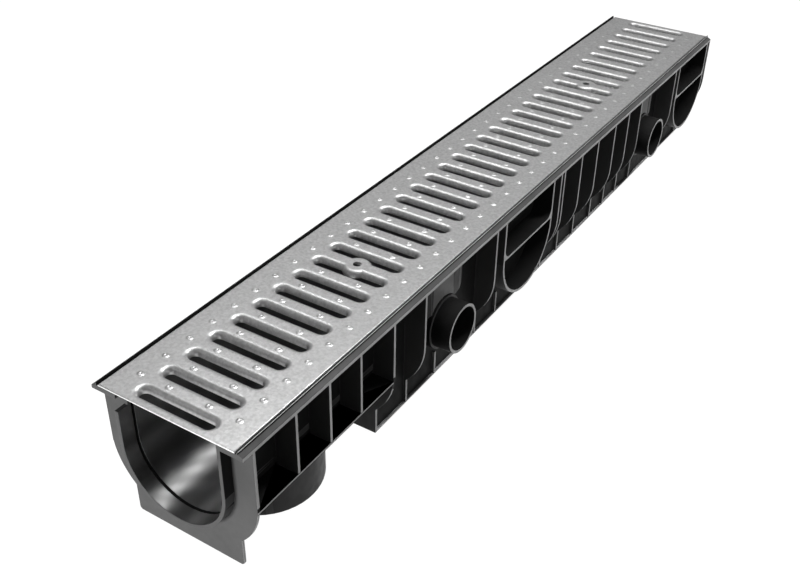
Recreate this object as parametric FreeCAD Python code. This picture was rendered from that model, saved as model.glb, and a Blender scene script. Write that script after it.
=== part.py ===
"""Linear drainage channel, one metre long: a moulded plastic channel body and a pressed steel grating.

Frame: X across the channel, Y along it, Z up, millimetres.
The origin is at the middle of the footprint, on the surface that the channel stands on.
Places along the channel are measured from the front end of its rim and turned into Y by along().
"""
import FreeCAD, Part
import math
import os

from FreeCAD import Vector

# Overall sizes of the channel
rim_length = 1000.0
rim_half_width = 75.0
grating_top = 135.0

# Sheet steel grating
sheet = 1.5
grating_length = 1000.0
grating_width = 135.0
slot_count = 36
slot_length = 84.0
slot_width = 20.0
slot_edge_run = 5.0
slot_edge_depth = 6.3
slot_end_sides = 4
fixing_hole_radius = 4.0
fixing_boss_radius = 9.0
fixing_boss_sides = 12
fixing_bars = (9, 27)

# Tray of the channel
tray_radius = 50.0
tray_centre_drop = 55.0
wall = 3.5

# Rim that carries the grating
rim_thickness = 5.0
grating_side_gap = 1.5
lip_thickness = 1.4
lip_rise = 1.0
lip_back_drop = 2.2
rim_edge_height = 3.2

# Outline of the end plates and of the ribs
plate_thickness = 3.0
outline_straight_drop = 62.0
outline_corner_radius = 64.0
foot_half_width = 56.0
foot_height = 27.0
foot_chamfer = 2.0

# Places along the channel: the front plate from the front end of the rim, and the others as
# shares of the rim's length, so that they spread out on a longer rim and close up on a shorter one
front_plate_at = 10.5
full_rib_shares = (0.196, 0.247, 0.379, 0.523, 0.531, 0.575, 0.619, 0.668, 0.709, 0.749, 0.867)
short_rib_shares = (0.060, 0.103, 0.146)
foot_rib_shares = (0.299, 0.424, 0.481, 0.793, 0.905, 0.965)
rail_drop = 66.0
rail_thickness = 2.5

# Tongue at the front end, and the bell at the far end that slides over the next channel's tongue
groove_at = 14.0
groove_width = 2.5
groove_depth = 1.0
tongue_notch_drop = 19.5
bell_clearance = 0.6
bell_wall = 3.0
bell_length = 9.5
bell_top_gap = 2.0

# Upright outlet stub under the front end
outlet_share = 0.103
outlet_outer_radius = 55.0
outlet_wall = 3.0

# Round side stubs, one pair in each wide bay
stub_shares = (0.300, 0.792)
stub_outer_radius = 25.0
stub_wall = 3.0
stub_drop = 68.0
stub_reach = 85.0
stub_sleeve_extra = 2.5
stub_sleeve_reach = 65.0
hood_half_length = 51.0
hood_depth = 9.0
hood_drop = 50.0
hood_corner_radius = 20.0
hood_flat_share = 1.0 / 3.0
hood_shoulder_share = 0.28
hood_shoulder_depth_share = 0.72

# U-shaped side collars for a branch channel
collar_shares = (0.4525, 0.936)
collar_outer_radius = 55.0
collar_wall = 3.0
collar_centre_drop = 54.0
shelf_drop = 48.0
shelf_thickness = 2.5
shelf_corner_radius = 10.0

# Snap tabs under the rim
tab_shares = (0.113, 0.341, 0.815)
tab_length = 5.0
tab_height = 4.0
tab_depth = 6.0

# Worked-out sizes
overall_length = rim_length + bell_length
slot_pitch = grating_length / slot_count
seat_height = grating_top - sheet
rim_underside = seat_height - rim_thickness
tray_centre_height = grating_top - tray_centre_drop
shell_radius = tray_radius + wall
rail_height = grating_top - rail_drop
outlet_at = outlet_share * rim_length
slot_slope = slot_edge_run / slot_edge_depth
slot_edge_width = sheet * math.hypot(1.0, slot_slope)
overlap = 0.5
tolerance = 0.01


def along(distance):
    """Y of a point given by its distance from the front end of the rim."""
    return distance - overall_length / 2.0


def spread(shares):
    """Distances from the front end of the rim for a row of features."""
    return [share * rim_length for share in shares]


def prism_along_y(points, start, length):
    """Solid with an outline of (x, z) points, standing along Y from a distance on."""
    y = along(start)
    wire = Part.makePolygon([Vector(x, y, z) for x, z in points + points[:1]])
    return Part.Face(wire).extrude(Vector(0, length, 0))


def u_prism(radius, centre_height, top, start, length):
    """Solid with a round bottom and upright sides up to the height top, standing along Y."""
    y = along(start)
    left = Vector(-radius, y, centre_height)
    bottom = Vector(0, y, centre_height - radius)
    right = Vector(radius, y, centre_height)
    edges = [
        Part.makeLine(Vector(-radius, y, top), left),
        Part.Arc(left, bottom, right).toShape(),
        Part.makeLine(right, Vector(radius, y, top)),
        Part.makeLine(Vector(radius, y, top), Vector(-radius, y, top)),
    ]
    return Part.Face(Part.Wire(edges)).extrude(Vector(0, length, 0))


def side_u_prism(radius, place, centre_height, top, inner, outer):
    """Solid with a round bottom and upright sides, standing along X from inner to outer."""
    y = along(place)
    left = Vector(inner, y - radius, centre_height)
    bottom = Vector(inner, y, centre_height - radius)
    right = Vector(inner, y + radius, centre_height)
    edges = [
        Part.makeLine(Vector(inner, y - radius, top), left),
        Part.Arc(left, bottom, right).toShape(),
        Part.makeLine(right, Vector(inner, y + radius, top)),
        Part.makeLine(Vector(inner, y + radius, top), Vector(inner, y - radius, top)),
    ]
    return Part.Face(Part.Wire(edges)).extrude(Vector(outer - inner, 0, 0))


def block(x, y, z, x_size, y_size, z_size):
    """Box with its low corner at x, y, z."""
    return Part.makeBox(x_size, y_size, z_size, Vector(x, y, z))


def both_sides(shape):
    """The shape and its mirror image on the other side of the channel."""
    return [shape, shape.mirror(Vector(0, 0, 0), Vector(1, 0, 0))]


def outline_plate(start, thickness):
    """End plate or rib before the tray is cut: upright sides, a round shoulder and a narrower foot."""
    y = along(start)
    straight_end = grating_top - outline_straight_drop
    centre_x = rim_half_width - outline_corner_radius
    centre_to_foot = foot_half_width - centre_x
    shoulder_end = straight_end - math.sqrt(outline_corner_radius ** 2 - centre_to_foot ** 2)
    half_angle = math.atan2(straight_end - shoulder_end, centre_to_foot) / 2.0
    middle_x = centre_x + outline_corner_radius * math.cos(half_angle)
    middle_z = straight_end - outline_corner_radius * math.sin(half_angle)
    top = rim_underside + overlap
    right = [
        Part.makeLine(Vector(rim_half_width, y, top), Vector(rim_half_width, y, straight_end)),
        Part.Arc(
            Vector(rim_half_width, y, straight_end),
            Vector(middle_x, y, middle_z),
            Vector(foot_half_width, y, shoulder_end),
        ).toShape(),
        Part.makeLine(Vector(foot_half_width, y, shoulder_end), Vector(foot_half_width, y, 0)),
    ]
    left = [edge.mirror(Vector(0, 0, 0), Vector(1, 0, 0)) for edge in right]
    bottom = Part.makeLine(Vector(foot_half_width, y, 0), Vector(-foot_half_width, y, 0))
    lid = Part.makeLine(Vector(-rim_half_width, y, top), Vector(rim_half_width, y, top))
    wire = Part.Wire(Part.__sortEdges__(right + left + [bottom, lid]))
    return Part.Face(wire).extrude(Vector(0, thickness, 0))


def front_foot_corner():
    """What the chamfer takes off the right lower corner of the front plate's foot."""
    low = -overlap
    high = foot_chamfer + overlap
    outer = foot_half_width + overlap
    inner = foot_half_width - high
    return prism_along_y([(inner, low), (outer, low), (outer, high)], front_plate_at - overlap,
                         plate_thickness + 2 * overlap)


def tray_shell():
    """Outside of the round tray with its upright walls."""
    return u_prism(shell_radius, tray_centre_height, seat_height, 0, rim_length)


def base_box():
    """Straight side walls from the tray down to the ground, behind the outlet, open below."""
    start = spread(full_rib_shares)[0]
    walls = block(
        -shell_radius, along(start), 0, 2 * shell_radius, rim_length - start, tray_centre_height
    )
    hollow = block(
        -tray_radius, along(start), -overlap, 2 * tray_radius, rim_length - start + overlap,
        tray_centre_height + overlap,
    )
    return walls.cut(hollow)


def rim_side():
    """Right-hand flange of the rim: the seat, the lip beside the grating and the sloping edge."""
    lip_inside = grating_width / 2.0 + grating_side_gap
    lip_outside = lip_inside + lip_thickness
    lip_top = grating_top + lip_rise
    points = [
        (tray_radius, rim_underside),
        (rim_half_width, rim_underside),
        (rim_half_width, rim_underside + rim_edge_height),
        (lip_outside, lip_top - lip_back_drop),
        (lip_outside, lip_top),
        (lip_inside, lip_top),
        (lip_inside, seat_height),
        (tray_radius, seat_height),
    ]
    return prism_along_y(points, 0, rim_length)


def short_rib(place):
    """Rib above the rail, beside the outlet."""
    return block(
        shell_radius - overlap, along(place), rail_height - overlap,
        rim_half_width - shell_radius + overlap, plate_thickness,
        rim_underside - rail_height + 2 * overlap,
    )


def rail():
    """Level shelf that closes the bays beside the outlet from below."""
    return block(
        tray_radius, along(front_plate_at), rail_height - rail_thickness,
        rim_half_width - tray_radius, spread(full_rib_shares)[0] - front_plate_at + overlap, rail_thickness,
    )


def foot_rib(place):
    """Low rib across the base box, standing out from its walls."""
    return block(
        -foot_half_width, along(place), 0, 2 * foot_half_width, plate_thickness, foot_height
    )


def outlet_tube():
    """Outside of the upright outlet stub, up to the rail."""
    return Part.makeCylinder(
        outlet_outer_radius, rail_height - overlap, Vector(0, along(outlet_at), 0), Vector(0, 0, 1)
    )


def outlet_hollow():
    """Inside of the outlet stub, closed above by the bottom of the tray."""
    radius = outlet_outer_radius - outlet_wall
    tube = Part.makeCylinder(
        radius, rail_height, Vector(0, along(outlet_at), -overlap), Vector(0, 0, 1)
    )
    return tube.cut(tray_shell())


def stub(place):
    """Round side stub with a sleeve at its root."""
    centre = Vector(tray_radius, along(place), grating_top - stub_drop)
    tube = Part.makeCylinder(stub_outer_radius, stub_reach - tray_radius, centre, Vector(1, 0, 0))
    sleeve = Part.makeCylinder(
        stub_outer_radius + stub_sleeve_extra, stub_sleeve_reach - tray_radius, centre, Vector(1, 0, 0)
    )
    return [tube, sleeve]


def stub_bore(place):
    """Inside of a side stub, closed at its root by the channel wall."""
    return Part.makeCylinder(
        stub_outer_radius - stub_wall, stub_reach, Vector(shell_radius, along(place), grating_top - stub_drop),
        Vector(1, 0, 0),
    )


def hood(place):
    """Bulge of the wall above a side stub, rounded at its sides and lower corners."""
    low = grating_top - hood_drop
    inner = shell_radius - overlap
    outer = shell_radius + hood_depth
    front = along(place) - hood_half_length
    back = along(place) + hood_half_length
    flat = hood_half_length * hood_flat_share
    middle = along(place)
    shoulder_x = shell_radius + hood_shoulder_depth_share * hood_depth
    shoulder = hood_shoulder_share * hood_half_length
    plan = Part.Wire([
        Part.Arc(
            Vector(inner, front, low),
            Vector(shoulder_x, front + shoulder, low),
            Vector(outer, middle - flat, low),
        ).toShape(),
        Part.makeLine(Vector(outer, middle - flat, low), Vector(outer, middle + flat, low)),
        Part.Arc(
            Vector(outer, middle + flat, low),
            Vector(shoulder_x, back - shoulder, low),
            Vector(inner, back, low),
        ).toShape(),
        Part.makeLine(Vector(inner, back, low), Vector(inner, front, low)),
    ])
    bulge = Part.Face(plan).extrude(Vector(0, 0, rim_underside - low + overlap))
    frame = block(
        inner - overlap, front - overlap, low, outer - inner + 2 * overlap,
        2 * hood_half_length + 2 * overlap, rim_underside - low + overlap,
    )
    lower_corners = [
        edge for edge in frame.Edges
        if abs(edge.CenterOfMass.z - low) < tolerance and edge.BoundBox.XLength > overlap
    ]
    return bulge.common(frame.makeFillet(hood_corner_radius, lower_corners))


def collar(place):
    """Outside of a U-shaped side collar."""
    return side_u_prism(
        collar_outer_radius, place, grating_top - collar_centre_drop, rim_underside + overlap,
        shell_radius - overlap, rim_half_width,
    )


def collar_pockets(place):
    """Upper and lower pockets of a side collar, parted by a shelf that curves up at its ends."""
    radius = collar_outer_radius - collar_wall
    centre_height = grating_top - collar_centre_drop
    shelf_top = grating_top - shelf_drop
    inside = side_u_prism(
        radius, place, centre_height, rim_underside, shell_radius, rim_half_width + overlap
    )
    upper = block(
        shell_radius, along(place) - radius, shelf_top, rim_half_width - shell_radius + overlap,
        2 * radius, rim_underside - shelf_top,
    )
    rounded = [
        edge for edge in upper.Edges
        if abs(edge.CenterOfMass.z - shelf_top) < tolerance and edge.BoundBox.XLength > overlap
    ]
    lower = inside.common(block(
        shell_radius, along(place) - radius, 0, rim_half_width - shell_radius + overlap,
        2 * radius, shelf_top - shelf_thickness,
    ))
    return [upper.makeFillet(shelf_corner_radius, rounded), lower]


def bell():
    """U-shaped socket at the far end for the tongue of the next channel."""
    inner = shell_radius + bell_clearance
    top = rim_underside - bell_top_gap
    outside = u_prism(
        inner + bell_wall, tray_centre_height, top, rim_length - overlap, bell_length + overlap
    )
    inside = u_prism(
        inner, tray_centre_height, top + overlap, rim_length, bell_length + overlap
    )
    return outside.cut(inside)


def tab(place):
    """Snap tab under the rim."""
    return block(
        shell_radius - overlap, along(place) - tab_length / 2.0, rim_underside - tab_height,
        tab_depth + overlap, tab_length, tab_height + overlap,
    )


def groove():
    """Shallow groove round the inside of the tray, behind the tongue."""
    return u_prism(
        tray_radius + groove_depth, tray_centre_height, rim_underside, groove_at, groove_width
    )


def tongue_notch():
    """Notch in the upper left of the tongue, from its front edge back to the front plate."""
    low = grating_top - tongue_notch_drop
    return block(
        -shell_radius - overlap, along(0) - overlap, low, wall + 2 * overlap, front_plate_at + overlap,
        rim_underside - low,
    )


def make_channel_body():
    """The whole moulded channel body."""
    solids = [tray_shell(), base_box(), outline_plate(front_plate_at, plate_thickness)]
    solids += [outline_plate(place, plate_thickness) for place in spread(full_rib_shares)]
    solids += [outline_plate(rim_length - plate_thickness, plate_thickness)]
    solids += [foot_rib(place) for place in spread(foot_rib_shares)]
    solids += [outlet_tube(), bell()]
    solids += both_sides(rim_side())
    solids += both_sides(rail())
    for place in spread(short_rib_shares):
        solids += both_sides(short_rib(place))
    for place in spread(tab_shares):
        solids += both_sides(tab(place))
    for place in spread(stub_shares):
        solids += both_sides(hood(place))
        for piece in stub(place):
            solids += both_sides(piece)
    for place in spread(collar_shares):
        solids += both_sides(collar(place))
    body = solids[0].multiFuse(solids[1:])
    cuts = [
        u_prism(tray_radius, tray_centre_height, grating_top + overlap, -overlap, overall_length + 2 * overlap),
        outlet_hollow(),
        groove(),
        tongue_notch(),
    ] + both_sides(front_foot_corner())
    for place in spread(stub_shares):
        cuts += both_sides(stub_bore(place))
    for place in spread(collar_shares):
        for pocket in collar_pockets(place):
            cuts += both_sides(pocket)
    return body.cut(Part.makeCompound(cuts)).removeSplitter()


def slot_outline(y, half_width, z):
    """Corners of a slot's outline: straight sides along X and faceted round ends, centred at x = 0."""
    straight = (slot_length - slot_width) / 2.0
    corners = []
    for side in (1, -1):
        for step in range(slot_end_sides + 1):
            turn = math.pi * (step / slot_end_sides - 0.5)
            corners.append(Vector(
                side * (straight + half_width * math.cos(turn)), y + side * half_width * math.sin(turn), z
            ))
    return corners


def round_outline(y, radius, z):
    """Corners of a faceted circle round the middle of a bar."""
    turns = [2.0 * math.pi * step / fixing_boss_sides for step in range(fixing_boss_sides)]
    return [Vector(radius * math.cos(turn), y + radius * math.sin(turn), z) for turn in turns]


def tapered_block(low, high):
    """Solid between two outlines with the same number of corners, one above the other."""
    count = len(low)
    faces = [Part.Face(Part.makePolygon(low + low[:1])), Part.Face(Part.makePolygon(high + high[:1]))]
    for here in range(count):
        there = (here + 1) % count
        side = [low[here], low[there], high[there], high[here], low[here]]
        faces.append(Part.Face(Part.makePolygon(side)))
    solid = Part.Solid(Part.Shell(faces))
    if solid.Volume < 0:
        solid.reverse()
    return solid


def slot_block(y, widening, top, low):
    """Room inside a slot's sloping edge, widened on all sides, between two heights."""
    def outline(z):
        half_width = slot_width / 2.0 + widening - (grating_top - z) * slot_slope
        return slot_outline(y, half_width, z)
    return tapered_block(outline(low), outline(top))


def boss_block(y, inset, top, low):
    """Room under a fixing boss's sloping edge, drawn in on all sides, between two heights."""
    def outline(z):
        radius = fixing_boss_radius - inset + (grating_top - z) * slot_slope
        return round_outline(y, radius, z)
    return tapered_block(outline(low), outline(top))


def fixing_boss(y):
    """Round widening of a bar, pressed down at its rim like the slots, with the fixing hole."""
    edge_bottom = grating_top - slot_edge_depth
    under = boss_block(y, slot_edge_width, seat_height, edge_bottom - overlap)
    hole = Part.makeCylinder(
        fixing_hole_radius, sheet + 2 * overlap, Vector(0, y, seat_height - overlap), Vector(0, 0, 1)
    )
    return boss_block(y, 0, grating_top, edge_bottom).cut(Part.makeCompound([under, hole]))


def make_grating():
    """The pressed grating: a sheet with slots and two widened bars for the fixings."""
    plate = block(-grating_width / 2.0, along(0), seat_height, grating_width, grating_length, sheet)
    edge_bottom = grating_top - slot_edge_depth
    slots = [along((number + 0.5) * slot_pitch) for number in range(slot_count)]
    fixings = [along(number * slot_pitch) for number in fixing_bars]
    edges = [slot_block(y, slot_edge_width, seat_height + overlap, edge_bottom) for y in slots]
    rooms = [slot_block(y, 0, grating_top + overlap, edge_bottom - overlap) for y in slots]
    bosses = [boss_block(y, sheet / 2.0, grating_top + overlap, edge_bottom - overlap) for y in fixings]
    grating = plate.multiFuse(edges).cut(Part.makeCompound(rooms)).cut(Part.makeCompound(bosses))
    return grating.multiFuse([fixing_boss(y) for y in fixings]).removeSplitter()


def export(name, shape):
    """Write one piece to its file."""
    shape.exportStep(os.path.join("parts", name + ".step"))
    print(name, shape.isValid(), len(shape.Solids), "solids", len(shape.Faces), "faces",
          round(shape.Volume / 1000.0, 1), "cm3")


os.makedirs("parts", exist_ok=True)
export("channel_body", make_channel_body())
export("grating", make_grating())
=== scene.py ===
"""Dress the linear channel drain: a ribbed black plastic channel under a galvanised, slotted grating.

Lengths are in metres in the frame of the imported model: X across the channel, Y along it, Z up.
"""

import logging
import math
from dataclasses import dataclass, field
from enum import Enum
from typing import Callable, Iterable

import bpy
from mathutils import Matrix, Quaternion, Vector

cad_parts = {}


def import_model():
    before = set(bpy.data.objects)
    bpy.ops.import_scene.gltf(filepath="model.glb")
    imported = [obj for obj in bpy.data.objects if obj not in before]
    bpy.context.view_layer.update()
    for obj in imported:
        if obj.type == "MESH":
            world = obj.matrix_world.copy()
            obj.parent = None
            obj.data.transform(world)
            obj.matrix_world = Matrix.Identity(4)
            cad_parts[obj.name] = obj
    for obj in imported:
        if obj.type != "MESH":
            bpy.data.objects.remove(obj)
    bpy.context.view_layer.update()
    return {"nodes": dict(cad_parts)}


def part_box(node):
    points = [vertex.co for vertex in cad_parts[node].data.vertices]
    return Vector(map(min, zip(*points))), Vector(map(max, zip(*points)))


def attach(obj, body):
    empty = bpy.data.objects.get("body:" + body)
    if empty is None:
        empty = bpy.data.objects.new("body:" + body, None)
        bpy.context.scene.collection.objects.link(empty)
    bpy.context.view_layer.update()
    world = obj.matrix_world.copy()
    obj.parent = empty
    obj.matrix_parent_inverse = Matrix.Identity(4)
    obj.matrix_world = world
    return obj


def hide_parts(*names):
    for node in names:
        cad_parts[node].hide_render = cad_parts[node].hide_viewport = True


LOG = logging.getLogger("channel_drain")
MM = 0.001
RELIEF_DEPTH = 0.3 * MM


class Slot(Enum):
    """Material slots named in the record."""

    PLASTIC = "black_plastic"
    STEEL = "galvanised_steel"


class Skin(Enum):
    """Finishes of the channel body, by their place in its list of materials. They paint light and shade:
    highlights on edges, front ends, rim tops and hoods, shade on the sides, tray, groove and lip, and faces
    toward the front lighter than the sides.
    """

    WALL = 0
    SIDE_EDGE = 1
    END_EDGE = 2
    TRAY = 3
    SEAM = 4
    RIM = 5
    SIDE = 6
    HOOD = 7


def take(piece: bpy.types.Object) -> None:
    """Make one piece the only selected object and the active one."""
    bpy.ops.object.select_all(action="DESELECT")
    piece.select_set(True)
    bpy.context.view_layer.objects.active = piece


def open_edit(piece: bpy.types.Object, kind: str = "VERT") -> None:
    """Open a piece in edit mode with nothing selected."""
    take(piece)
    bpy.ops.object.mode_set(mode="EDIT")
    bpy.ops.mesh.select_mode(type=kind)
    bpy.ops.mesh.select_all(action="DESELECT")


def close_edit() -> None:
    """Leave edit mode."""
    bpy.ops.object.mode_set(mode="OBJECT")


def pick(piece: bpy.types.Object, test: Callable[[Vector], bool]) -> int:
    """Select the vertices of a piece in edit mode by their place.

    Args:
        piece: The piece that is open in edit mode.
        test: Says of a vertex's place whether it is selected.

    Returns:
        How many vertices were selected.
    """
    bpy.ops.mesh.select_all(action="DESELECT")
    bpy.ops.object.mode_set(mode="OBJECT")
    count = 0
    for vertex in piece.data.vertices:
        vertex.select = test(vertex.co)
        count += vertex.select
    bpy.ops.object.mode_set(mode="EDIT")
    return count


def settle(piece: bpy.types.Object) -> None:
    """Move a piece's place into its mesh, so that its object lies at the origin."""
    take(piece)
    bpy.ops.object.transform_apply(location=True, rotation=True, scale=True)


def use_modifier(piece: bpy.types.Object, kind: str, **settings: object) -> None:
    """Add a modifier to a piece, set it and apply it.

    Args:
        piece: The piece to change.
        kind: Blender's name of the modifier type.
        **settings: Values of the modifier's properties.
    """
    take(piece)
    modifier = piece.modifiers.new(kind.title(), kind)
    for name, value in settings.items():
        setattr(modifier, name, value)
    bpy.ops.object.modifier_apply(modifier=modifier.name)


def join(pieces: Iterable[bpy.types.Object], name: str) -> bpy.types.Object:
    """Join pieces into one object.

    Args:
        pieces: The pieces; the first one keeps its object.
        name: Name of the joined piece.

    Returns:
        The joined piece.
    """
    pieces = list(pieces)
    take(pieces[0])
    for piece in pieces[1:]:
        piece.select_set(True)
    if len(pieces) > 1:
        bpy.ops.object.join()
    pieces[0].name = name
    pieces[0].data.name = name
    return pieces[0]


def dress(piece: bpy.types.Object, material: bpy.types.Material) -> None:
    """Give a piece one material all over."""
    piece.data.materials.clear()
    piece.data.materials.append(material)


def group_socket(group: bpy.types.NodeTree, name: str, way: str, value: float | None = None) -> None:
    """Add a number socket to a node group.

    Args:
        group: The node group.
        name: Name of the socket.
        way: INPUT or OUTPUT.
        value: Default of an input.
    """
    socket = group.interface.new_socket(name=name, in_out=way, socket_type="NodeSocketFloat")
    if value is not None:
        socket.default_value = value


@dataclass
class Patterns:
    """Shader node groups that several finishes share."""

    mottle: bpy.types.NodeTree = field(init=False)
    grain: bpy.types.NodeTree = field(init=False)

    def __post_init__(self) -> None:
        """Build the groups once."""
        self.mottle = self.make_mottle()
        self.grain = self.make_grain()

    def make_mottle(self) -> bpy.types.NodeTree:
        """Make soft large and small patches.

        Returns:
            A group with the input Scale and the outputs Patches and Specks, both from 0 to 1.
        """
        group = bpy.data.node_groups.new("mottle", "ShaderNodeTree")
        group_socket(group, "Scale", "INPUT", 12.0)
        group_socket(group, "Patches", "OUTPUT")
        group_socket(group, "Specks", "OUTPUT")
        nodes, links = group.nodes, group.links
        given = nodes.new("NodeGroupInput")
        out = nodes.new("NodeGroupOutput")
        place = nodes.new("ShaderNodeTexCoord")
        for name, factor, detail, low, high in (
            ("Patches", 1.0, 3.0, 0.32, 0.68),
            ("Specks", 9.0, 5.0, 0.40, 0.62),
        ):
            scale = nodes.new("ShaderNodeMath")
            scale.operation = "MULTIPLY"
            scale.inputs[1].default_value = factor
            noise = nodes.new("ShaderNodeTexNoise")
            noise.inputs["Detail"].default_value = detail
            spread = nodes.new("ShaderNodeMapRange")
            spread.inputs["From Min"].default_value = low
            spread.inputs["From Max"].default_value = high
            links.new(given.outputs["Scale"], scale.inputs[0])
            links.new(place.outputs["Object"], noise.inputs["Vector"])
            links.new(scale.outputs["Value"], noise.inputs["Scale"])
            links.new(noise.outputs["Fac"], spread.inputs["Value"])
            links.new(spread.outputs["Result"], out.inputs[name])
        return group

    def make_grain(self) -> bpy.types.NodeTree:
        """Make the fine relief of a moulded or dipped surface.

        Returns:
            A group with the inputs Scale and Drawn (how far the grain is drawn out along Y) and the
            output Height.
        """
        group = bpy.data.node_groups.new("grain", "ShaderNodeTree")
        group_socket(group, "Scale", "INPUT", 600.0)
        group_socket(group, "Drawn", "INPUT", 1.0)
        group_socket(group, "Height", "OUTPUT")
        nodes, links = group.nodes, group.links
        given = nodes.new("NodeGroupInput")
        out = nodes.new("NodeGroupOutput")
        place = nodes.new("ShaderNodeTexCoord")
        stretch = nodes.new("ShaderNodeCombineXYZ")
        stretch.inputs["X"].default_value = 1.0
        stretch.inputs["Z"].default_value = 1.0
        turned = nodes.new("ShaderNodeVectorMath")
        turned.operation = "MULTIPLY"
        noise = nodes.new("ShaderNodeTexNoise")
        noise.inputs["Detail"].default_value = 2.0
        links.new(given.outputs["Drawn"], stretch.inputs["Y"])
        links.new(place.outputs["Object"], turned.inputs[0])
        links.new(stretch.outputs["Vector"], turned.inputs[1])
        links.new(turned.outputs["Vector"], noise.inputs["Vector"])
        links.new(given.outputs["Scale"], noise.inputs["Scale"])
        links.new(noise.outputs["Fac"], out.inputs["Height"])
        return group


def place_group(material: bpy.types.Material, group: bpy.types.NodeTree, **values: float) -> bpy.types.Node:
    """Place a shared node group in a material.

    Args:
        material: The material.
        group: The group to place.
        **values: Values of the group's inputs.

    Returns:
        The group's node.
    """
    node = material.node_tree.nodes.new("ShaderNodeGroup")
    node.node_tree = group
    for name, value in values.items():
        node.inputs[name].default_value = value
    return node


def ramp(
    material: bpy.types.Material, source: bpy.types.NodeSocket, low: tuple, high: tuple
) -> bpy.types.NodeSocket:
    """Turn a mask into a colour between two colours.

    Args:
        material: The material.
        source: The mask, from 0 to 1.
        low: Colour at 0.
        high: Colour at 1.

    Returns:
        The colour socket.
    """
    node = material.node_tree.nodes.new("ShaderNodeMix")
    node.data_type = "RGBA"
    node.inputs["A"].default_value = (*low, 1.0)
    node.inputs["B"].default_value = (*high, 1.0)
    material.node_tree.links.new(source, node.inputs["Factor"])
    return node.outputs["Result"]


def between(
    material: bpy.types.Material, source: bpy.types.NodeSocket, low: float, high: float
) -> bpy.types.NodeSocket:
    """Turn a mask into a number between two numbers.

    Args:
        material: The material.
        source: The mask, from 0 to 1.
        low: Number at 0.
        high: Number at 1.

    Returns:
        The number socket.
    """
    node = material.node_tree.nodes.new("ShaderNodeMapRange")
    node.inputs["To Min"].default_value = low
    node.inputs["To Max"].default_value = high
    material.node_tree.links.new(source, node.inputs["Value"])
    return node.outputs["Result"]


@dataclass(frozen=True)
class MouldedPlastic:
    """Black plastic with a satin moulded skin."""

    name: str = "moulded_black_plastic"
    dark: tuple = (0.080, 0.080, 0.080)
    light: tuple = (0.098, 0.098, 0.098)
    smooth: float = 0.42
    rough: float = 0.54
    specular: float = 0.12
    coat: float = 0.0
    coat_ior: float = 1.5
    relief: float = 0.08
    patch_scale: float = 14.0
    grain_scale: float = 900.0

    def make(self, patterns: Patterns) -> bpy.types.Material:
        """Build the material.

        Args:
            patterns: The shared node groups.

        Returns:
            The material.
        """
        material = bpy.data.materials.new(self.name)
        material.use_nodes = True
        nodes, links = material.node_tree.nodes, material.node_tree.links
        surface = nodes["Principled BSDF"]
        surface.inputs["Specular IOR Level"].default_value = self.specular
        surface.inputs["Coat Weight"].default_value = self.coat
        surface.inputs["Coat Roughness"].default_value = self.smooth
        surface.inputs["Coat IOR"].default_value = self.coat_ior
        mottle = place_group(material, patterns.mottle, Scale=self.patch_scale)
        grain = place_group(material, patterns.grain, Scale=self.grain_scale, Drawn=1.0)
        colour = ramp(material, mottle.outputs["Patches"], self.dark, self.light)
        roughness = between(material, mottle.outputs["Specks"], self.smooth, self.rough)
        links.new(colour, surface.inputs["Base Color"])
        links.new(roughness, surface.inputs["Roughness"])
        bump = nodes.new("ShaderNodeBump")
        bump.inputs["Strength"].default_value = self.relief
        bump.inputs["Distance"].default_value = RELIEF_DEPTH
        links.new(grain.outputs["Height"], bump.inputs["Height"])
        links.new(bump.outputs["Normal"], surface.inputs["Normal"])
        return material


@dataclass(frozen=True)
class Galvanised:
    """Hot-dip zinc on pressed steel, with a faint spangle."""

    name: str = "galvanised_steel_finish"
    dark: tuple = (0.48, 0.48, 0.48)
    light: tuple = (0.70, 0.70, 0.70)
    smooth: float = 0.38
    rough: float = 0.48
    metallic: float = 0.75
    spangle_scale: float = 330.0
    spangle_share: float = 0.55
    patch_scale: float = 38.0
    patch_share: float = 0.45
    grain_scale: float = 500.0
    grain_drawn: float = 0.4
    relief: float = 0.05

    def make(self, patterns: Patterns) -> bpy.types.Material:
        """Build the material.

        Args:
            patterns: The shared node groups.

        Returns:
            The material.
        """
        material = bpy.data.materials.new(self.name)
        material.use_nodes = True
        nodes, links = material.node_tree.nodes, material.node_tree.links
        surface = nodes["Principled BSDF"]
        surface.inputs["Metallic"].default_value = self.metallic
        place = nodes.new("ShaderNodeTexCoord")
        crystals = nodes.new("ShaderNodeTexVoronoi")
        crystals.inputs["Scale"].default_value = self.spangle_scale
        links.new(place.outputs["Object"], crystals.inputs["Vector"])
        tone = nodes.new("ShaderNodeRGBToBW")
        links.new(crystals.outputs["Color"], tone.inputs["Color"])
        mottle = place_group(material, patterns.mottle, Scale=self.patch_scale)
        blend = nodes.new("ShaderNodeMath")
        blend.operation = "MULTIPLY_ADD"
        blend.inputs[1].default_value = self.spangle_share
        blend.use_clamp = True
        soft = nodes.new("ShaderNodeMath")
        soft.operation = "MULTIPLY"
        soft.inputs[1].default_value = self.patch_share
        links.new(mottle.outputs["Specks"], soft.inputs[0])
        links.new(tone.outputs["Val"], blend.inputs[0])
        links.new(soft.outputs["Value"], blend.inputs[2])
        colour = ramp(material, blend.outputs["Value"], self.dark, self.light)
        roughness = between(material, blend.outputs["Value"], self.rough, self.smooth)
        links.new(colour, surface.inputs["Base Color"])
        links.new(roughness, surface.inputs["Roughness"])
        grain = place_group(material, patterns.grain, Scale=self.grain_scale, Drawn=self.grain_drawn)
        bump = nodes.new("ShaderNodeBump")
        bump.inputs["Strength"].default_value = self.relief
        bump.inputs["Distance"].default_value = RELIEF_DEPTH
        links.new(grain.outputs["Height"], bump.inputs["Height"])
        links.new(bump.outputs["Normal"], surface.inputs["Normal"])
        return material


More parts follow.
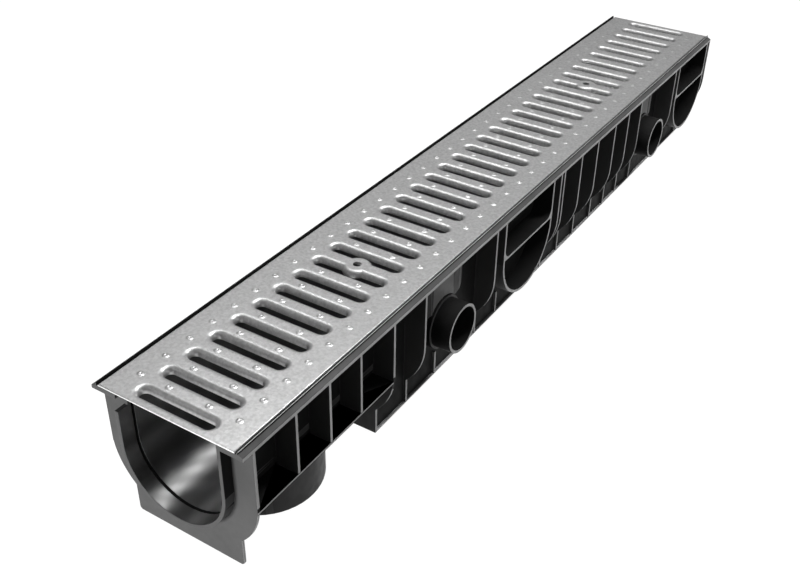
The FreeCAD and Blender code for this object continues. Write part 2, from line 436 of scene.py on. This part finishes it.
@dataclass
class ChannelBody:
    """The moulded plastic channel: the solid of the frame with soft moulded edges.

    The tuples hold low and high values: hood is its inner and outer distance from the middle and its lower
    end, strip and bead are inner and outer distance and lower and upper height of thin pale boxes that
    carry a painted highlight line, and the ends and places are along the channel.
    """

    node: bpy.types.Object
    merge_distance: float = 0.01 * MM
    flat_angle: float = math.radians(0.5)
    edge_radius: float = 0.45 * MM
    edge_steps: int = 2
    sharp_angle: float = math.radians(35.0)
    smooth_angle: float = math.radians(50.0)
    narrowest: float = 1.2 * MM
    widest: float = 3.4 * MM
    near: float = 0.8 * MM
    half_width: float = 75.0 * MM
    foot_half_width: float = 56.0 * MM
    corner_radius: float = 64.0 * MM
    corner_height: float = 73.0 * MM
    rim_underside: float = 128.5 * MM
    rail_underside: float = 66.5 * MM
    hood: tuple = (54.5 * MM, 63.0 * MM, 83.0 * MM)
    stubs_at: tuple = (-204.75 * MM, 287.25 * MM)
    stub_height: float = 67.0 * MM
    stub_radius: float = 27.5 * MM
    collars_at: tuple = (-52.25 * MM, 431.25 * MM)
    collar_height: float = 81.0 * MM
    collar_radius: float = 52.0 * MM
    tray_radius: float = 50.0 * MM
    tray_height: float = 80.0 * MM
    groove: tuple = (-491.0 * MM, -488.0 * MM)
    groove_reach: float = 1.6 * MM
    lip_outside: float = 70.4 * MM
    strip: tuple = (53.2 * MM, 56.0 * MM, 0.0, 1.7 * MM)
    highlight_strip_ends: tuple = (-308.0 * MM, 495.0 * MM)
    highlight_bead: tuple = (69.7 * MM, 70.7 * MM, 135.2 * MM, 135.9 * MM)
    highlight_bead_ends: tuple = (-504.5 * MM, 495.0 * MM)

    def build(self) -> bpy.types.Object:
        """Merge a copy of the solid's mesh and round its edges.

        Returns:
            The channel body.
        """
        take(self.node)
        bpy.ops.object.duplicate()
        piece = bpy.context.active_object
        piece.name = "channel_moulding"
        piece.data.name = "channel_moulding"
        for key in [key for key in piece.keys() if key.startswith("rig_")]:
            del piece[key]
        open_edit(piece)
        bpy.ops.mesh.select_all(action="SELECT")
        bpy.ops.mesh.remove_doubles(threshold=self.merge_distance)
        bpy.ops.mesh.dissolve_limited(angle_limit=self.flat_angle)
        close_edit()
        solid_faces = len(piece.data.polygons)
        # Thin boxes along both sides in the pale edge finish: painted highlight lines along the foot and
        # beside the grating.
        highlight_strips = self.build_highlight_strips(self.strip, self.highlight_strip_ends)
        highlight_beads = self.build_highlight_strips(self.highlight_bead, self.highlight_bead_ends)
        piece = join([piece, *highlight_strips, *highlight_beads], "channel_moulding")
        piece.data.materials.clear()
        # Each face of the solid gets a finish by its place and facing, which paints light and shade; the
        # added boxes get the pale edge finish, a painted highlight.
        for face in piece.data.polygons:
            skin = self.skin_of(piece.data, face) if face.index < solid_faces else Skin.SIDE_EDGE
            face.material_index = skin.value
        # The bevel's new faces take the pale edge finish: a painted highlight along every rounded edge.
        use_modifier(
            piece, "BEVEL", width=self.edge_radius, segments=self.edge_steps, limit_method="ANGLE",
            angle_limit=self.sharp_angle, use_clamp_overlap=False, harden_normals=False,
            material=Skin.SIDE_EDGE.value,
        )
        # The groove inside the tray is painted near black: painted shade.
        for face in piece.data.polygons:
            if self.in_groove(face.center) and self.in_tray(face.center):
                face.material_index = Skin.SEAM.value
        take(piece)
        bpy.ops.object.shade_smooth_by_angle(angle=self.smooth_angle)
        use_modifier(piece, "WEIGHTED_NORMAL", keep_sharp=True)
        return piece

    def build_highlight_strips(self, section: tuple, ends: tuple) -> list:
        """Model one straight strip along each long side, to carry a painted highlight line.

        Args:
            section: Inner and outer distance from the middle, then lower and upper height.
            ends: Where the strips start and end along the channel.

        Returns:
            The two strips.
        """
        inner, outer, low, high = section
        start, end = ends
        highlight_strips = []
        for side in (-1.0, 1.0):
            bpy.ops.object.select_all(action="DESELECT")
            bpy.ops.mesh.primitive_cube_add(
                size=1.0,
                location=(side * (inner + outer) / 2.0, (start + end) / 2.0, (low + high) / 2.0),
                scale=(outer - inner, end - start, high - low),
            )
            strip = bpy.context.active_object
            settle(strip)
            highlight_strips.append(strip)
        return highlight_strips

    def outline(self, height: float) -> float:
        """Work out how far the ribs reach sideways.

        Args:
            height: Height above the ground.

        Returns:
            Distance of the ribs' outer edge from the middle of the channel.
        """
        if height >= self.corner_height:
            return self.half_width
        drop = self.corner_height - height
        if drop >= self.corner_radius:
            return self.foot_half_width
        round_part = math.sqrt(self.corner_radius ** 2 - drop ** 2)
        return max(self.half_width - self.corner_radius + round_part, self.foot_half_width)

    def in_groove(self, place: Vector) -> bool:
        """Say whether a place lies as far along the channel as the groove behind the tongue."""
        return self.groove[0] < place.y < self.groove[1]

    def in_tray(self, place: Vector) -> bool:
        """Say whether a place lies on the inside of the tray."""
        below = min(place.z - self.tray_height, 0.0)
        reach = self.tray_radius + (self.groove_reach if self.in_groove(place) else self.near)
        return place.z < self.rim_underside and math.hypot(place.x, below) < reach

    def skin_of(self, mesh: bpy.types.Mesh, face: bpy.types.MeshPolygon) -> Skin:
        """Choose the finish of one face of the merged solid.

        Args:
            mesh: The mesh that the face belongs to.
            face: The face.

        Returns:
            The finish by place and facing: painted highlights on narrow outer edges, front ends and rim
                tops, painted shade in the tray, on the lip, on the branches and on the sides.
        """
        centre, normal = face.center, face.normal
        side = abs(centre.x)
        # Inside the tray the plastic is painted darker, painted shade, under a real glossy coat.
        if self.in_tray(centre) and abs(normal.y) < 0.5:
            return Skin.TRAY
        if centre.z > self.rim_underside and side > self.tray_radius and normal.z > -0.5:
            # The lip's top and drop beside the grating are painted near black: painted shade in the gap.
            if side < self.lip_outside + self.near and abs(normal.y) < 0.5:
                return Skin.SEAM
            # Upward rim faces are painted lighter: painted light from above.
            if normal.z > 0.5:
                return Skin.RIM
        # Stubs and the insides of collars are painted darker: painted shade.
        if self.in_branch(centre) and abs(normal.x) < 0.7:
            return Skin.SIDE
        places = [mesh.vertices[index].co for index in face.vertices]
        next_places = places[1:] + places[:1]
        around = sum((here - there).length for here, there in zip(places, next_places))
        width = 2.0 * face.area / around
        if not self.narrowest < width < self.widest:
            return self.wide_skin_of(centre, normal)
        # Narrow faces toward the front end are painted paler: a painted highlight.
        if normal.y < -0.7:
            return Skin.END_EDGE
        # Narrow faces on the outer outline get the pale edge finish: a painted highlight on the rounded
        # edges.
        outward = normal.x * centre.x > 0.0 and normal.z > -0.5 and abs(normal.y) < 0.5
        on_outline = side > self.outline(centre.z) - self.near
        if outward and on_outline and side > self.foot_half_width - self.near:
            return Skin.SIDE_EDGE
        return Skin.WALL

    def wide_skin_of(self, centre: Vector, normal: Vector) -> Skin:
        """Choose the finish of a wide face.

        Args:
            centre: The middle of the face.
            normal: Its normal.

        Returns:
            The finish: outward hood faces get a painted sheen, and faces toward the front end are painted
                lighter than the sides, as lit and shaded copies of one plastic.
        """
        inner, outer, low = self.hood
        # Outward hood faces are painted pale: a painted sheen.
        on_hood = inner < abs(centre.x) < outer and centre.z > low and abs(normal.z) < 0.3
        if on_hood and normal.x * centre.x > 0.0 and abs(normal.y) < 0.95:
            return Skin.HOOD
        # Low walls at the front end, ahead of the strips, keep the lighter copy: painted light.
        if centre.z < self.rail_underside and centre.y < self.highlight_strip_ends[0]:
            return Skin.WALL
        # Faces toward the front end get the lighter copy, all others the darker one: painted light and
        # shade.
        facing_front = normal.y < -0.6 and not self.in_branch(centre)
        return Skin.WALL if facing_front else Skin.SIDE

    def in_branch(self, place: Vector) -> bool:
        """Say whether a place lies on a side stub or inside a side collar.

        Args:
            place: The place.

        Returns:
            Whether it is on the round of a stub or within a collar's U.
        """
        on_stub = any(
            math.hypot(place.y - middle, place.z - self.stub_height) < self.stub_radius + self.near
            for middle in self.stubs_at
        )
        below = min(place.z - self.collar_height, 0.0)
        return on_stub or any(
            math.hypot(place.y - middle, below) < self.collar_radius + self.near
            for middle in self.collars_at
        )

    def finish(self, piece: bpy.types.Object, materials: dict) -> None:
        """Dress the channel body and let it stand for its node.

        Args:
            piece: The channel body.
            materials: The material of each skin, in the order of the skins.
        """
        for material in materials.values():
            piece.data.materials.append(material)
        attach(piece, "root")
        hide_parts("channel_body")


@dataclass
class Grating:
    """The pressed grating: slots with rolled edges, raised burls and two fixing bosses."""

    low: Vector
    high: Vector
    slot_count: int = 36
    sheet: float = 1.4 * MM
    slot_half_width: float = 10.0 * MM
    slot_half_length: float = 42.0 * MM
    roll: float = 5.0 * MM
    edge_depth: float = 6.3 * MM
    end_steps: int = 20
    roll_steps: int = 7
    burl_radius: float = 3.6 * MM
    burl_height: float = 0.6 * MM
    burl_sink: float = 0.05 * MM
    burl_steps: tuple = (
        (0.16, 0.28), (0.18, 0.50), (0.14, 0.22), (0.14, -0.05), (0.16, -0.45), (0.12, -0.15),
    )
    edge_round: float = 1.2 * MM
    smooth_angle: float = math.radians(35.0)
    merge_distance: float = 0.01 * MM
    array_merge_distance: float = 0.02 * MM
    outer_burl_x: float = 49.5 * MM
    inner_burl_x: float = 20.0 * MM
    boss_bars: tuple = (9, 27)
    boss_radius: float = 9.0 * MM
    hole_radius: float = 4.0 * MM

    @property
    def pitch(self) -> float:
        """Distance from one slot to the next."""
        return (self.high.y - self.low.y) / self.slot_count

    def slot_profile(self) -> list:
        """Steps of the rolled edge.

        Returns:
            Pairs of half width and depth below the sheet's top, from the top to the lower edge.
        """
        rings = []
        for step in range(1, self.roll_steps + 1):
            turn = math.pi / 2.0 * step / self.roll_steps
            inward, down = self.roll * math.sin(turn), self.roll * (1.0 - math.cos(turn))
            rings.append((self.slot_half_width - inward, down))
        rings.append((self.slot_half_width - self.roll, self.edge_depth))
        return rings

    def build_cell(self) -> bpy.types.Object:
        """Model one slot with its rolled edge in its own strip of sheet.

        Returns:
            The first strip, at the front end of the grating.
        """
        centre = Vector((0.0, self.low.y + self.pitch / 2.0, self.high.z))
        bpy.ops.object.select_all(action="DESELECT")
        bpy.ops.mesh.primitive_circle_add(
            vertices=2 * self.end_steps, radius=self.slot_half_width, location=centre,
            rotation=(0.0, 0.0, math.pi / (2 * self.end_steps)),
        )
        cell = bpy.context.active_object
        settle(cell)
        open_edit(cell)
        bpy.ops.mesh.select_all(action="SELECT")
        before, depth_before = self.slot_half_width, 0.0
        for half_width, depth in self.slot_profile():
            bpy.ops.mesh.extrude_region_move(
                TRANSFORM_OT_translate={"value": (0.0, 0.0, depth_before - depth)}
            )
            scale = half_width / before
            bpy.ops.transform.resize(value=(scale, scale, 1.0), center_override=centre)
            before, depth_before = half_width, depth
        straight = self.slot_half_length - self.slot_half_width
        for side in (1, -1):
            pick(cell, lambda place: place.x * side > 0)
            bpy.ops.transform.translate(value=(side * straight, 0.0, 0.0))
        bpy.ops.mesh.select_all(action="DESELECT")
        bpy.ops.mesh.primitive_plane_add(size=1.0, location=centre)
        bpy.ops.transform.resize(
            value=(self.high.x - self.low.x, self.pitch, 1.0), center_override=centre
        )
        bpy.ops.mesh.delete(type="ONLY_FACE")
        close_edit()
        open_edit(cell)
        top = self.high.z - 0.01 * MM
        pick(cell, lambda place: place.z > top)
        bpy.ops.mesh.fill(use_beauty=True)
        close_edit()
        return cell

    def build_burl(self, x: float, y: float) -> bpy.types.Object:
        """Model one raised anti-slip burl: a small ring with a sunk middle.

        Args:
            x: Place across the grating.
            y: Place along the grating.

        Returns:
            The burl.
        """
        top = self.high.z
        bpy.ops.object.select_all(action="DESELECT")
        bpy.ops.mesh.primitive_circle_add(
            vertices=16, radius=self.burl_radius, fill_type="NGON", location=(x, y, top - self.burl_sink)
        )
        burl = bpy.context.active_object
        settle(burl)
        open_edit(burl, "FACE")
        bpy.ops.mesh.select_all(action="SELECT")
        lift = self.burl_height + self.burl_sink
        for share, rise in self.burl_steps:
            bpy.ops.mesh.inset(thickness=share * self.burl_radius, depth=0.0)
            bpy.ops.transform.translate(value=(0.0, 0.0, rise * lift))
        close_edit()
        return burl

    def build_boss(self, y: float) -> tuple:
        """Model one fixing boss: a disc whose rim is pressed down, and the room that it takes.

        Args:
            y: Place of the middle of its bar.

        Returns:
            The boss and a plug of the room to clear for it.
        """
        top = self.high.z
        made = []
        for inset, skirt in ((0.0, True), (0.5 * MM, False)):
            radius = self.boss_radius - inset
            bpy.ops.object.select_all(action="DESELECT")
            bpy.ops.mesh.primitive_circle_add(
                vertices=48, radius=radius, fill_type="NGON",
                location=(0.0, y, top + (0.0 if skirt else 1.0 * MM)),
            )
            piece = bpy.context.active_object
            settle(piece)
            open_edit(piece, "EDGE")
            bpy.ops.mesh.select_all(action="SELECT")
            if skirt:
                bpy.ops.mesh.region_to_loop()
                before, depth_before = radius, 0.0
                for half_width, depth in self.slot_profile():
                    after = radius + self.slot_half_width - half_width
                    bpy.ops.mesh.extrude_edges_move(
                        TRANSFORM_OT_translate={"value": (0.0, 0.0, depth_before - depth)}
                    )
                    scale = after / before
                    bpy.ops.transform.resize(value=(scale, scale, 1.0), center_override=(0.0, y, top))
                    before, depth_before = after, depth
            else:
                bpy.ops.mesh.extrude_region_move(
                    TRANSFORM_OT_translate={"value": (0.0, 0.0, -self.edge_depth - 2.0 * MM)}
                )
                bpy.ops.mesh.select_all(action="SELECT")
            bpy.ops.mesh.select_all(action="SELECT")
            bpy.ops.mesh.normals_make_consistent(inside=False)
            close_edit()
            made.append(piece)
        return tuple(made)

    def cut(self, piece: bpy.types.Object, tool: bpy.types.Object, operation: str) -> None:
        """Join a tool solid to a piece or cut it away, and remove the tool."""
        use_modifier(piece, "BOOLEAN", object=tool, operation=operation, solver="EXACT")
        bpy.data.objects.remove(tool)

    def build_sheet(self) -> bpy.types.Object:
        """Model the sheet with all its slots.

        Returns:
            The sheet, at its full thickness and with rounded long edges.
        """
        sheet = self.build_cell()
        use_modifier(
            sheet, "ARRAY", count=self.slot_count, use_relative_offset=False, use_constant_offset=True,
            constant_offset_displace=(0.0, self.pitch, 0.0), use_merge_vertices=True,
            merge_threshold=self.array_merge_distance,
        )
        open_edit(sheet)
        bpy.ops.mesh.select_all(action="SELECT")
        bpy.ops.mesh.remove_doubles(threshold=self.merge_distance)
        bpy.ops.mesh.normals_make_consistent(inside=False)
        close_edit()
        if self.faces_down(sheet):
            open_edit(sheet)
            bpy.ops.mesh.select_all(action="SELECT")
            bpy.ops.mesh.flip_normals()
            close_edit()
        use_modifier(sheet, "SOLIDIFY", thickness=self.sheet, offset=-1.0, use_even_offset=True)
        open_edit(sheet)
        side, top = self.high.x - 0.02 * MM, self.high.z - 0.02 * MM
        pick(sheet, lambda place: abs(place.x) > side and place.z > top)
        bpy.ops.mesh.bevel(offset=self.edge_round, segments=3, affect="EDGES")
        close_edit()
        return sheet

    def add_boss(self, sheet: bpy.types.Object, y: float) -> None:
        """Set one fixing boss with its hole into the sheet.

        Args:
            sheet: The sheet, which is changed.
            y: Place of the middle of the boss's bar.
        """
        boss, plug = self.build_boss(y)
        use_modifier(boss, "SOLIDIFY", thickness=self.sheet, offset=-1.0, use_even_offset=True)
        self.cut(sheet, plug, "DIFFERENCE")
        self.cut(sheet, boss, "UNION")
        bpy.ops.object.select_all(action="DESELECT")
        bpy.ops.mesh.primitive_cylinder_add(
            vertices=32, radius=self.hole_radius, depth=20.0 * MM, location=(0.0, y, self.high.z)
        )
        drill = bpy.context.active_object
        settle(drill)
        self.cut(sheet, drill, "DIFFERENCE")

    def burl_places(self) -> list:
        """Work out where the burls stand.

        Returns:
            Pairs of x and y: two near the margins of each bar, and two further in unless it has a boss.
        """
        places = []
        for number in range(1, self.slot_count):
            y = self.low.y + number * self.pitch
            places += [(side * self.outer_burl_x, y) for side in (-1, 1)]
            if number not in self.boss_bars:
                places += [(side * self.inner_burl_x, y) for side in (-1, 1)]
        return places

    def build_burls(self) -> list:
        """Model the first burl and copy it to all the other places.

        Returns:
            The burls, each with its own mesh.
        """
        places = self.burl_places()
        first = places[0]
        burls = [self.build_burl(*first)]
        for x, y in places[1:]:
            take(burls[0])
            bpy.ops.object.duplicate(linked=False)
            copy = bpy.context.active_object
            copy.location = Vector((x, y, 0.0)) - Vector((*first, 0.0))
            burls.append(copy)
        for burl in burls:
            settle(burl)
        return burls

    def build(self) -> bpy.types.Object:
        """Model the whole grating.

        Returns:
            The grating.
        """
        sheet = self.build_sheet()
        for bar in self.boss_bars:
            self.add_boss(sheet, self.low.y + bar * self.pitch)
        grating = join([sheet, *self.build_burls()], "grating_pressing")
        take(grating)
        bpy.ops.object.shade_smooth_by_angle(angle=self.smooth_angle)
        use_modifier(grating, "WEIGHTED_NORMAL", keep_sharp=True)
        return grating

    def faces_down(self, piece: bpy.types.Object) -> bool:
        """Say whether the flat of the sheet faces down."""
        flat = [face for face in piece.data.polygons if abs(face.normal.z) > 0.99]
        return sum(face.normal.z * face.area for face in flat) < 0

    def finish(self, piece: bpy.types.Object, material: bpy.types.Material) -> None:
        """Dress the grating and let it stand for its node."""
        dress(piece, material)
        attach(piece, "root")
        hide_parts("grating")


@dataclass(frozen=True)
class Lamp:
    """One soft light: its place, its width and height, and how bright its face is (1 is white paper)."""

    name: str
    at: tuple
    size: tuple
    strength: float


@dataclass
class Studio:
    """Camera, floor and lights."""

    lens: float = 46.472
    camera_at: tuple = (0.45000, -0.89818, 0.63834)
    aim_at: tuple = (0.0, -0.18135, 0.06547)
    roll: float = math.radians(0.979)
    floor_size: float = 60.0
    floor_colour: tuple = (0.10, 0.10, 0.10)
    floor_glow: float = 1.0
    sky_glow: float = 0.05
    lamps: tuple = (
        Lamp("overhead_left", (-0.55, 0.06, 1.35), (0.7, 0.35), 5.2),
        Lamp("overhead_right", (0.29, 0.25, 1.35), (0.25, 1.0), 20.0),
        Lamp("back", (-1.6, 3.1, 1.6), (3.0, 2.0), 0.26),
        Lamp("front", (-0.45, -3.2, 0.30), (1.1, 0.6), 46.0),
        Lamp("right", (2.2, -0.6, 0.5), (1.0, 0.6), 2.4),
    )

    def place_camera(self) -> None:
        """Set the camera where the photograph was taken from."""
        data = bpy.data.cameras.new("camera")
        data.lens = self.lens
        data.sensor_width = 36.0
        camera = bpy.data.objects.new("camera", data)
        bpy.context.scene.collection.objects.link(camera)
        camera.location = self.camera_at
        camera.rotation_mode = "QUATERNION"
        look = (Vector(self.aim_at) - Vector(self.camera_at)).to_track_quat("-Z", "Y")
        camera.rotation_quaternion = look @ Quaternion((0.0, 0.0, 1.0), self.roll)
        bpy.context.scene.camera = camera

    def place_floor(self) -> None:
        """Lay a floor that takes the part's shadow but shows white to the camera and in reflections."""
        bpy.ops.object.select_all(action="DESELECT")
        bpy.ops.mesh.primitive_plane_add(size=self.floor_size, location=(0.0, 0.0, 0.0))
        floor = bpy.context.active_object
        floor.name = "floor"
        material = bpy.data.materials.new("white_floor")
        material.use_nodes = True
        nodes, links = material.node_tree.nodes, material.node_tree.links
        surface = nodes["Principled BSDF"]
        surface.inputs["Base Color"].default_value = (*self.floor_colour, 1.0)
        surface.inputs["Roughness"].default_value = 0.9
        surface.inputs["Specular IOR Level"].default_value = 0.0
        path = nodes.new("ShaderNodeLightPath")
        seen = nodes.new("ShaderNodeMath")
        seen.operation = "MAXIMUM"
        seen_too = nodes.new("ShaderNodeMath")
        seen_too.operation = "MAXIMUM"
        links.new(path.outputs["Is Camera Ray"], seen.inputs[0])
        links.new(path.outputs["Is Glossy Ray"], seen.inputs[1])
        links.new(seen.outputs["Value"], seen_too.inputs[0])
        links.new(path.outputs["Is Transmission Ray"], seen_too.inputs[1])
        surface.inputs["Emission Color"].default_value = (1.0, 1.0, 1.0, 1.0)
        strength = nodes.new("ShaderNodeMath")
        strength.operation = "MULTIPLY"
        strength.inputs[1].default_value = self.floor_glow
        links.new(seen_too.outputs["Value"], strength.inputs[0])
        links.new(strength.outputs["Value"], surface.inputs["Emission Strength"])
        dress(floor, material)

    def place_lamp(self, lamp: Lamp) -> None:
        """Hang one soft light that points at the middle of the part.

        Args:
            lamp: What light it is.
        """
        data = bpy.data.lights.new(lamp.name, "AREA")
        data.shape = "RECTANGLE"
        data.size, data.size_y = lamp.size
        data.energy = lamp.strength * math.pi * lamp.size[0] * lamp.size[1]
        light = bpy.data.objects.new(lamp.name, data)
        bpy.context.scene.collection.objects.link(light)
        light.location = lamp.at
        light.rotation_mode = "QUATERNION"
        light.rotation_quaternion = (-Vector(lamp.at)).to_track_quat("-Z", "Y")

    def light(self) -> None:
        """Set up a weak sky that shows white to the camera, and hang the lamps."""
        world = bpy.data.worlds.new("studio")
        bpy.context.scene.world = world
        world.use_nodes = True
        back = world.node_tree.nodes["Background"]
        back.inputs["Color"].default_value = (1.0, 1.0, 1.0, 1.0)
        path = world.node_tree.nodes.new("ShaderNodeLightPath")
        glow = world.node_tree.nodes.new("ShaderNodeMapRange")
        glow.inputs["To Min"].default_value = self.sky_glow
        world.node_tree.links.new(path.outputs["Is Camera Ray"], glow.inputs["Value"])
        world.node_tree.links.new(glow.outputs["Result"], back.inputs["Strength"])
        for lamp in self.lamps:
            self.place_lamp(lamp)

    def build(self) -> None:
        """Set up the whole studio, with colours shown as they are written."""
        bpy.context.scene.view_settings.view_transform = "Standard"
        self.place_camera()
        self.place_floor()
        self.light()


BODY_FINISHES = {
    # Wall finish: the lighter, lit copy of the plastic, painted light on faces toward the front.
    Skin.WALL: MouldedPlastic(),
    # Pale edge finish: a painted highlight.
    Skin.SIDE_EDGE: MouldedPlastic(
        name="painted_highlight_plastic_edges", dark=(0.44, 0.44, 0.44), light=(0.58, 0.58, 0.58), specular=0.8
    ),
    # Paler front ends: a painted highlight.
    Skin.END_EDGE: MouldedPlastic(
        name="painted_highlight_plastic_ends", dark=(0.13, 0.13, 0.13), light=(0.16, 0.16, 0.16)
    ),
    # Darker tray: painted shade; its coat and specular are gloss.
    Skin.TRAY: MouldedPlastic(
        name="polished_plastic_tray_painted_shade", dark=(0.016, 0.016, 0.016), light=(0.030, 0.030, 0.030),
        smooth=0.28, rough=0.31, specular=1.0, coat=1.0, coat_ior=1.9,
    ),
    # Near-black groove and lip: painted shade.
    Skin.SEAM: MouldedPlastic(
        name="painted_shade_plastic_seam", dark=(0.010, 0.010, 0.010), light=(0.014, 0.014, 0.014),
        specular=0.05,
    ),
    # Lighter rim tops: painted light from above.
    Skin.RIM: MouldedPlastic(
        name="painted_light_plastic_rim", dark=(0.08, 0.08, 0.08), light=(0.12, 0.12, 0.12)
    ),
    # Darker sides: painted shade; the wall finish is the lit copy.
    Skin.SIDE: MouldedPlastic(
        name="painted_shade_plastic_sides", dark=(0.018, 0.018, 0.018), light=(0.026, 0.026, 0.026),
        specular=0.02,
    ),
    # Pale hoods: a painted sheen.
    Skin.HOOD: MouldedPlastic(
        name="painted_sheen_plastic_hoods", dark=(0.22, 0.22, 0.22), light=(0.34, 0.34, 0.34)
    ),
}


def main() -> None:
    """Build the pieces in order and report each one."""
    logging.basicConfig(level=logging.INFO, format="%(message)s")
    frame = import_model()
    patterns = Patterns()
    body = ChannelBody(frame["nodes"]["channel_body"])
    moulding = body.build()
    body.finish(moulding, {skin: finish.make(patterns) for skin, finish in BODY_FINISHES.items()})
    LOG.info("%s: %d faces", moulding.name, len(moulding.data.polygons))
    grating = Grating(*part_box("grating"))
    pressing = grating.build()
    grating.finish(pressing, Galvanised().make(patterns))
    LOG.info("%s: %d faces", pressing.name, len(pressing.data.polygons))
    Studio().build()


if __name__ == "__main__":
    main()
